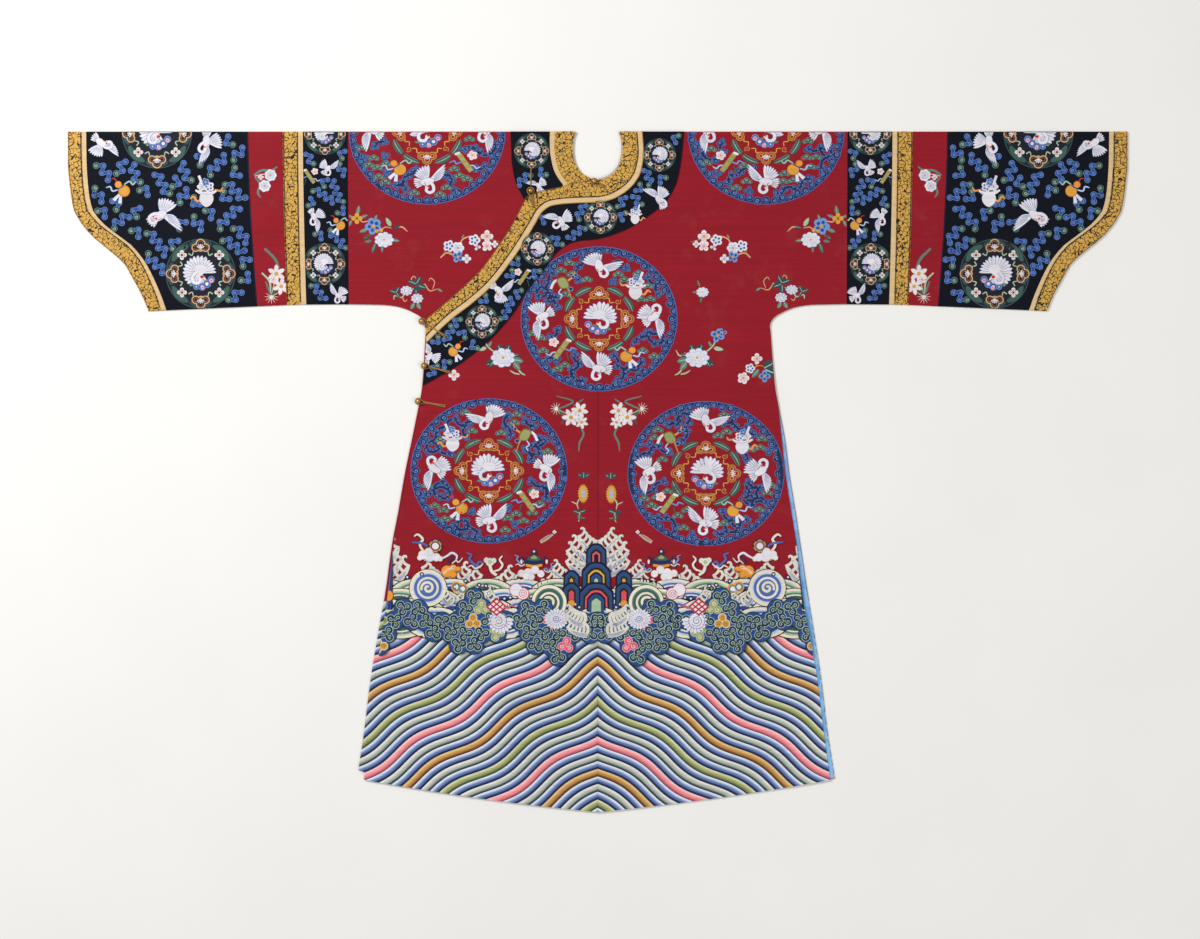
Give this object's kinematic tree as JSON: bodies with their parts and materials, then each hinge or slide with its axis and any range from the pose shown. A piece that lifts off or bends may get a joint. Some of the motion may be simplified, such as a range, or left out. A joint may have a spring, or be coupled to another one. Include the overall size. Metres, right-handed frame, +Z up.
{
  "type": "manchu robe",
  "caption": "Wide-sleeved Manchu court robe laid flat, with horse-hoof cuffs, a slanted outer front closed by ball buttons, side vents and a curved hem.",
  "frame": {"origin": "centre of the bounding box in X and Y, on the surface that the robe lies on", "axes": "+X across the robe from the wearer's right cuff to the left one, +Y from the hem towards the shoulder fold, +Z up from the surface"},
  "size_m": [2.1834, 1.402, 0.0163],
  "materials": {
    "crimson_silk": "crimson tapestry-woven silk with weft ribs and woven motifs",
    "navy_silk": "dark navy tapestry-woven silk with cranes, clouds and roundels",
    "gold_brocade": "gold brocade with fine black scroll lines",
    "cream_piping": "cream silk satin strip",
    "blue_lining": "light blue silk damask",
    "brass_button": "small worn brass balls",
    "loop_cord": "twisted brown and gold silk cord"
  },
  "bodies": {
    "root": {"button_chest": "brass_button", "button_lower": "brass_button", "button_neck": "brass_button", "button_side": "brass_button", "button_stem_chest": "loop_cord", "button_underarm": "brass_button", "collar_gold_band": "gold_brocade", "collar_navy_band": "navy_silk", "collar_piping": "cream_piping", "inner_collar_gold_band": "gold_brocade", "inner_collar_navy_band": "navy_silk", "inner_collar_piping": "cream_piping", "left_cuff_gold_border": "gold_brocade", "left_cuff_navy": "navy_silk", "left_cuff_piping": "cream_piping", "left_half_front_and_back": "crimson_silk", "left_sleeve_gold_band": "gold_brocade", "left_sleeve_navy_band": "navy_silk", "left_sleeve_piping": "cream_piping", "left_sleeve_red_section": "crimson_silk", "loop_chest": "loop_cord", "loop_lower": "loop_cord", "loop_neck": "loop_cord", "loop_side": "loop_cord", "loop_underarm": "loop_cord", "outer_front": "crimson_silk", "right_cuff_gold_border": "gold_brocade", "right_cuff_navy": "navy_silk", "right_cuff_piping": "cream_piping", "right_half_back_and_underlap": "crimson_silk", "right_sleeve_gold_band": "gold_brocade", "right_sleeve_navy_band": "navy_silk", "right_sleeve_piping": "cream_piping", "right_sleeve_red_section": "crimson_silk", "vent_lining": "blue_lining"}
  },
  "joints": []
}
